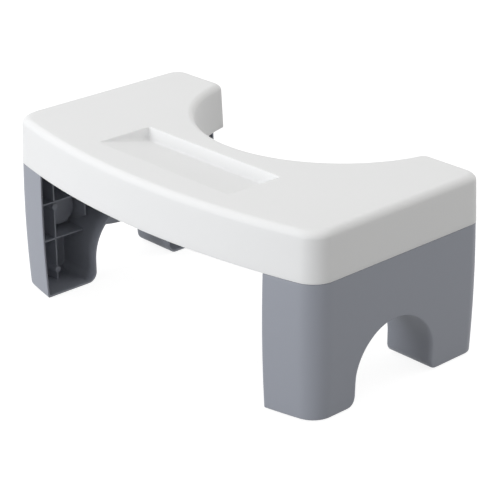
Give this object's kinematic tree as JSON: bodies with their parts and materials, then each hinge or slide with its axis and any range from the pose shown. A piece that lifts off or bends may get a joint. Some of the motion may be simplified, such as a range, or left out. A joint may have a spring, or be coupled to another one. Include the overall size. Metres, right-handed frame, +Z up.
{
  "type": "folding footstool",
  "caption": "Low moulded footstool with a bowed front and a round bay in its back edge, on hollow arched legs that fold in under the top.",
  "frame": {"origin": "on the floor, under the middle of the footprint", "axes": "+X along the length, +Y to the edge with the round bay, +Z up"},
  "size_m": [0.4212, 0.2403, 0.1783],
  "materials": {
    "white_plastic": "fine satin moulded surface",
    "grey_plastic": "satin moulded surface, blue-grey",
    "zinc_plated_steel": "zinc plated",
    "dark_rubber": "matt, grooved"
  },
  "bodies": {
    "top": {"top_shell": "white_plastic", "right_front_hinge_pin": "zinc_plated_steel", "right_rear_hinge_pin": "zinc_plated_steel", "left_front_hinge_pin": "zinc_plated_steel", "left_rear_hinge_pin": "zinc_plated_steel", "right_front_pin_washer": "zinc_plated_steel", "right_rear_pin_washer": "zinc_plated_steel", "left_front_pin_washer": "zinc_plated_steel", "left_rear_pin_washer": "zinc_plated_steel"},
    "right_leg": {"right_leg": "grey_plastic", "right_front_foot_pad": "dark_rubber", "right_rear_foot_pad": "dark_rubber"},
    "left_leg": {"left_leg": "grey_plastic", "left_front_foot_pad": "dark_rubber", "left_rear_foot_pad": "dark_rubber"}
  },
  "joints": [
    {"name": "right_leg_fold", "type": "hinge", "parent": "top", "child": "right_leg", "pos_m": [0.14705, 0, 0.1397], "axis": [0, 1, 0], "range_deg": [0, 90]},
    {"name": "left_leg_fold", "type": "hinge", "parent": "top", "child": "left_leg", "pos_m": [-0.14705, 0, 0.1397], "axis": [0, -1, 0], "range_deg": [0, 90]}
  ]
}
